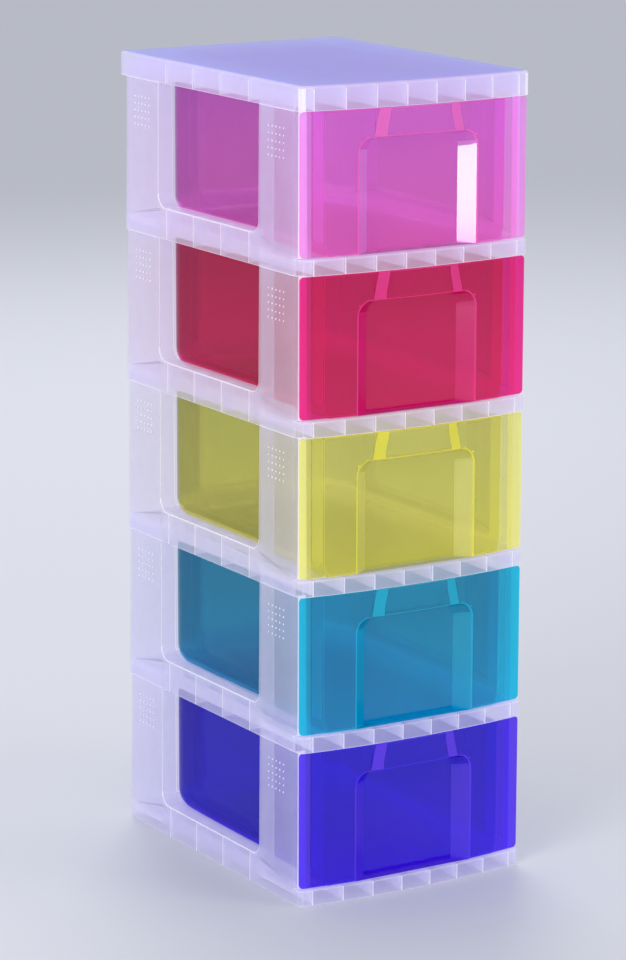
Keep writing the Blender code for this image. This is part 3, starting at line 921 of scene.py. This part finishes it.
def plastic(name, colour, tint, clear, roughness, edge=0.0, painted_lit_foot_colour=None, gloss=GLOSS, grain=0.0):
    """Moulded see-through plastic.

    Each face passes a clear share tinted by tint, and shows the rest as a body of its colour, lit
    from both sides. Faint flow marks vary the clear share, and grain is the strength of the texture.
    The whole surface glows a little by itself at the strength given by edge: a painted glow that stands
    in for light scattered inside the plastic and guided along its walls. Towards the foot the colour, and
    the glow's colour, turn to the foot colour given: painted light, lighter there as if lit from below.
    The surface mirrors more of what is around it the more it is seen aslant, from the first share in gloss
    to the second, on its front side only.
    """
    material = bpy.data.materials.new(name)
    material.use_nodes = True
    tree = material.node_tree
    nodes, links = tree.nodes, tree.links
    nodes.clear()
    output = nodes.new("ShaderNodeOutputMaterial")
    coordinates = nodes.new("ShaderNodeTexCoord")
    flow = nodes.new("ShaderNodeTexNoise")
    flow.inputs["Scale"].default_value = FLOW_SCALE
    flow.inputs["Detail"].default_value = FLOW_DETAIL
    share = nodes.new("ShaderNodeMapRange")
    share.inputs["To Min"].default_value = clear - MOTTLE
    share.inputs["To Max"].default_value = clear + MOTTLE
    share.inputs["From Min"].default_value = FLOW_RANGE[0]
    share.inputs["From Max"].default_value = FLOW_RANGE[1]
    texture = nodes.new("ShaderNodeTexNoise")
    texture.inputs["Scale"].default_value = TEXTURE_SCALE
    texture.inputs["Detail"].default_value = TEXTURE_DETAIL
    bump = nodes.new("ShaderNodeBump")
    bump.inputs["Strength"].default_value = grain
    bump.inputs["Distance"].default_value = TEXTURE_DEPTH
    body = nodes.new("ShaderNodeBsdfPrincipled")
    body.inputs["Base Color"].default_value = (*colour, 1.0)
    body.inputs["Roughness"].default_value = roughness
    body.inputs["Specular IOR Level"].default_value = 0.0
    body.inputs["Emission Color"].default_value = (*colour, 1.0)
    body.inputs["Emission Strength"].default_value = edge
    lit = nodes.new("ShaderNodeBsdfTranslucent")
    lit.inputs["Color"].default_value = (*colour, 1.0)
    through = nodes.new("ShaderNodeBsdfTransparent")
    through.inputs["Color"].default_value = (*tint, 1.0)
    glowing = nodes.new("ShaderNodeMixShader")
    glowing.inputs["Fac"].default_value = LIT_SHARE
    seen = nodes.new("ShaderNodeMixShader")
    links.new(coordinates.outputs["Object"], flow.inputs["Vector"])
    links.new(coordinates.outputs["Object"], texture.inputs["Vector"])
    links.new(flow.outputs["Fac"], share.inputs["Value"])
    links.new(texture.outputs["Fac"], bump.inputs["Height"])
    links.new(bump.outputs["Normal"], body.inputs["Normal"])
    links.new(body.outputs["BSDF"], glowing.inputs[1])
    links.new(lit.outputs["BSDF"], glowing.inputs[2])
    links.new(share.outputs["Result"], seen.inputs["Fac"])
    links.new(glowing.outputs["Shader"], seen.inputs[1])
    links.new(through.outputs["BSDF"], seen.inputs[2])

    facing = nodes.new("ShaderNodeLayerWeight")
    facing.inputs["Blend"].default_value = 0.5
    steep = nodes.new("ShaderNodeMath")
    steep.operation = "POWER"
    steep.inputs[1].default_value = GLOSS_POWER
    mirrored = nodes.new("ShaderNodeMath")
    mirrored.operation = "MULTIPLY_ADD"
    mirrored.inputs[1].default_value = gloss[1] - gloss[0]
    mirrored.inputs[2].default_value = gloss[0]
    geometry = nodes.new("ShaderNodeNewGeometry")
    in_front = nodes.new("ShaderNodeMath")
    in_front.operation = "SUBTRACT"
    in_front.inputs[0].default_value = 1.0
    outer = nodes.new("ShaderNodeMath")
    outer.operation = "MULTIPLY"
    mirror = nodes.new("ShaderNodeBsdfGlossy")
    mirror.inputs["Roughness"].default_value = roughness
    surface = nodes.new("ShaderNodeMixShader")
    links.new(facing.outputs["Facing"], steep.inputs[0])
    links.new(steep.outputs["Value"], mirrored.inputs[0])
    links.new(geometry.outputs["Backfacing"], in_front.inputs[1])
    links.new(mirrored.outputs["Value"], outer.inputs[0])
    links.new(in_front.outputs["Value"], outer.inputs[1])
    links.new(outer.outputs["Value"], surface.inputs["Fac"])
    links.new(seen.outputs["Shader"], surface.inputs[1])
    links.new(mirror.outputs["BSDF"], surface.inputs[2])
    links.new(bump.outputs["Normal"], mirror.inputs["Normal"])
    links.new(surface.outputs["Shader"], output.inputs["Surface"])

    # Painted light: the body and its glow turn to the foot colour towards the foot, as if lit from below
    if painted_lit_foot_colour:
        height = nodes.new("ShaderNodeSeparateXYZ")
        ramp = nodes.new("ShaderNodeValToRGB")
        ramp.color_ramp.elements[0].position = TUB_BOTTOM
        ramp.color_ramp.elements[0].color = (*painted_lit_foot_colour, 1.0)
        ramp.color_ramp.elements[1].position = RECESS_TOP
        ramp.color_ramp.elements[1].color = (*colour, 1.0)
        links.new(coordinates.outputs["Object"], height.inputs["Vector"])
        links.new(height.outputs["Z"], ramp.inputs["Fac"])
        links.new(ramp.outputs["Color"], body.inputs["Base Color"])
        links.new(ramp.outputs["Color"], body.inputs["Emission Color"])
        links.new(ramp.outputs["Color"], lit.inputs["Color"])
    return material


# Body colour, and the colour that one face lets through
FROST = ((0.90, 0.87, 0.98), (0.97, 0.97, 1.0))

# Each drawer's body colour at its top and at its foot, where painted light lightens it, the tint that
# one face lets through, and the colours of its rims, which carry a painted glow, and of the strips beside
# its tub, painted lighter
TINTS = {
    "orchid": {
        "body": (1.0, 0.29, 0.86),
        "foot": (1.0, 0.26, 0.64),
        "tint": (0.99, 0.74, 0.98),
        "rim": (1.0, 0.22, 0.62),
        "beside": (0.94, 0.5, 0.98),
    },
    "raspberry": {
        "body": (0.82, 0.008, 0.24),
        "foot": (0.96, 0.015, 0.33),
        "tint": (0.95, 0.14, 0.6),
        "rim": (1.0, 0.06, 0.4),
        "beside": (0.96, 0.04, 0.4),
    },
    "yellow": {
        "body": (0.8, 0.8, 0.26),
        "foot": (0.92, 0.88, 0.16),
        "tint": (0.97, 0.97, 0.66),
        "rim": (1.0, 0.95, 0.08),
        "beside": (0.95, 0.93, 0.34),
    },
    "teal": {
        "body": (0.0, 0.43, 0.6),
        "foot": (0.0, 0.56, 0.8),
        "tint": (0.03, 0.82, 0.92),
        "rim": (0.0, 0.62, 0.8),
        "beside": (0.0, 0.66, 0.86),
    },
    "violet": {
        "body": (0.09, 0.012, 0.78),
        "foot": (0.17, 0.015, 0.95),
        "tint": (0.34, 0.18, 0.97),
        "rim": (0.2, 0.06, 0.97),
        "beside": (0.24, 0.1, 0.97),
    },
}


def place(mesh, name, height, materials, body, node, slot):
    obj = bpy.data.objects.new(name, mesh)
    obj.location.z = height
    bpy.context.scene.collection.objects.link(obj)
    for material_slot, material in zip(obj.material_slots, materials):
        material_slot.link = "OBJECT"
        material_slot.material = material
    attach(obj, body)
    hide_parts(node)
    return obj


def frosted_materials():
    """The frosted plastic, its rims, the lid's flat top, and the ribs behind a wall. All but the top carry
    a painted glow, strongest at the rims; the top is coloured darker and bluer as a painted reflection.
    """
    plain = plastic(
        "frosted_plastic", *FROST, clear=0.67, roughness=0.36, edge=0.13, gloss=FROST_GLOSS, grain=FROST_GRAIN
    )
    rim = plastic(
        "frosted_rim",
        (0.98, 0.97, 1.0),
        (1.0, 1.0, 1.0),
        clear=0.12,
        roughness=0.3,
        edge=0.25,
        gloss=FROST_GLOSS,
    )
    # Painted reflection: the lid's top is coloured darker and bluer
    top = plastic(
        "frosted_top",
        (0.34, 0.37, 0.76),
        (0.76, 0.79, 1.0),
        clear=0.25,
        roughness=0.4,
        gloss=FROST_GLOSS,
        grain=FROST_GRAIN,
    )
    rib = plastic(
        "frosted_rib",
        (0.93, 0.90, 1.0),
        (0.95, 0.94, 1.0),
        clear=0.35,
        roughness=0.36,
        edge=0.2,
        gloss=FROST_GLOSS,
    )
    return plain, rim, top, rib


def drawer_materials(name):
    """A drawer's tinted plastic, its rims, the strips beside its tub, and the tub's sides. All but the sides
    carry a painted glow; the plastic is painted lighter towards its foot, the strips are painted lighter and
    the sides are coloured darker as painted shade.
    """
    look = TINTS[name]
    tint = look["tint"]
    shaded = [PAINTED_SIDE_SHADE * share for share in look["body"]]
    plain = plastic(
        f"{name}_plastic", look["body"], tint, clear=0.74, roughness=0.1, edge=0.14, painted_lit_foot_colour=look["foot"]
    )
    rim = plastic(f"{name}_rim", look["rim"], tint, clear=0.3, roughness=0.2, edge=0.25)
    # Painted light: the strips and recess sides are coloured lighter and glow
    beside = plastic(f"{name}_strip", look["beside"], tint, clear=0.6, roughness=0.1, edge=0.2)
    # Painted shade: the tub's sides are a darker copy of the body colour
    side = plastic(f"{name}_side", shaded, tint, clear=0.62, roughness=0.1)
    return plain, rim, beside, side


frosted, frosted_rim, frosted_top, frosted_rib = frosted_materials()
frame_mesh = finished_mesh(frame_pattern(), "stacking_frame", [mark_frame, round_windows], [add_pips])
drawer_marks = [mark_pad, mark_tub_strips, mark_tub_corners, mark_recess_sides, round_arch]
drawer_mesh = finished_mesh(drawer_pattern(), "drawer", drawer_marks, [unmark_recess_back])
lid_mesh = finished_mesh(lid_pattern(), "lid_shell", [mark_lid], [])

for level, colour_name in enumerate(COLOUR_NAMES):
    place(
        frame_mesh,
        f"frosted_frame_{level + 1}",
        level * UNIT_PITCH,
        (frosted, frosted_rim, frosted, frosted_rib),
        "tower",
        f"frame_{level + 1}",
        "frosted_clear",
    )
    place(
        drawer_mesh,
        f"tinted_drawer_{colour_name}",
        level * UNIT_PITCH,
        drawer_materials(colour_name),
        f"{colour_name}_drawer",
        f"drawer_{colour_name}",
        f"{colour_name}_clear",
    )
lid_materials = (frosted, frosted_rim, frosted_top, frosted_rib)
place(lid_mesh, "frosted_lid", lid_low.z, lid_materials, "tower", "lid", "frosted_clear")

for obj in list(scratch.objects):
    bpy.data.objects.remove(obj)
bpy.data.collections.remove(scratch)


# Stage, light and camera

FLOOR_RADIUS = 40.0
FLOOR_GAP = 0.0005
SENSOR_MM = 36.0
LENS_MM = 140.74
CAMERA_PLACE = (-2.2631, -3.6699, 1.4316)
CAMERA_TURN = (77.088, -0.109, -31.503)
TOWER_MIDDLE = (0, 0, 0.5)
TOP_RECESS = (0.07, -0.2, 0.82)

def floor():
    bpy.ops.mesh.primitive_circle_add(
        vertices=96, radius=FLOOR_RADIUS, fill_type="NGON", location=(0, 0, -FLOOR_GAP)
    )
    ground = bpy.context.object
    ground.name = "floor"
    material = bpy.data.materials.new("pale_floor")
    material.use_nodes = True
    shader = material.node_tree.nodes["Principled BSDF"]
    shader.inputs["Base Color"].default_value = (0.60, 0.61, 0.65, 1.0)
    shader.inputs["Roughness"].default_value = 0.6
    ground.data.materials.append(material)


def area_light(name, location, target, size, power):
    lamp = bpy.data.lights.new(name, "AREA")
    lamp.shape = "RECTANGLE"
    lamp.size, lamp.size_y = size
    lamp.energy = power
    obj = bpy.data.objects.new(name, lamp)
    obj.location = location
    obj.rotation_euler = (Vector(target) - Vector(location)).to_track_quat("-Z", "Y").to_euler()
    obj.visible_camera = False
    bpy.context.scene.collection.objects.link(obj)


def camera():
    data = bpy.data.cameras.new("camera")
    data.sensor_width = SENSOR_MM
    data.lens = LENS_MM
    obj = bpy.data.objects.new("camera", data)
    obj.location = CAMERA_PLACE
    obj.rotation_euler = [math.radians(angle) for angle in CAMERA_TURN]
    bpy.context.scene.collection.objects.link(obj)
    bpy.context.scene.camera = obj


floor()
area_light("key", (-2.9, -1.5, 2.6), TOWER_MIDDLE, (1.6, 1.6), 42)
area_light("fill", (2.4, -3.2, 2.0), TOWER_MIDDLE, (1.6, 2.2), 26)
area_light("back", (1.4, 3.2, 2.8), TOWER_MIDDLE, (2.4, 1.8), 50)
area_light("low_front", (-1.54, -2.45, 0.41), TOP_RECESS, (0.42, 0.26), 6.5)
world = bpy.data.worlds.new("studio")
bpy.context.scene.world = world
world.use_nodes = True
world.node_tree.nodes["Background"].inputs["Color"].default_value = (0.86, 0.88, 0.95, 1.0)
world.node_tree.nodes["Background"].inputs["Strength"].default_value = 0.85
bpy.context.scene.view_settings.view_transform = "Standard"
bpy.context.scene.cycles.transparent_max_bounces = 40
camera()
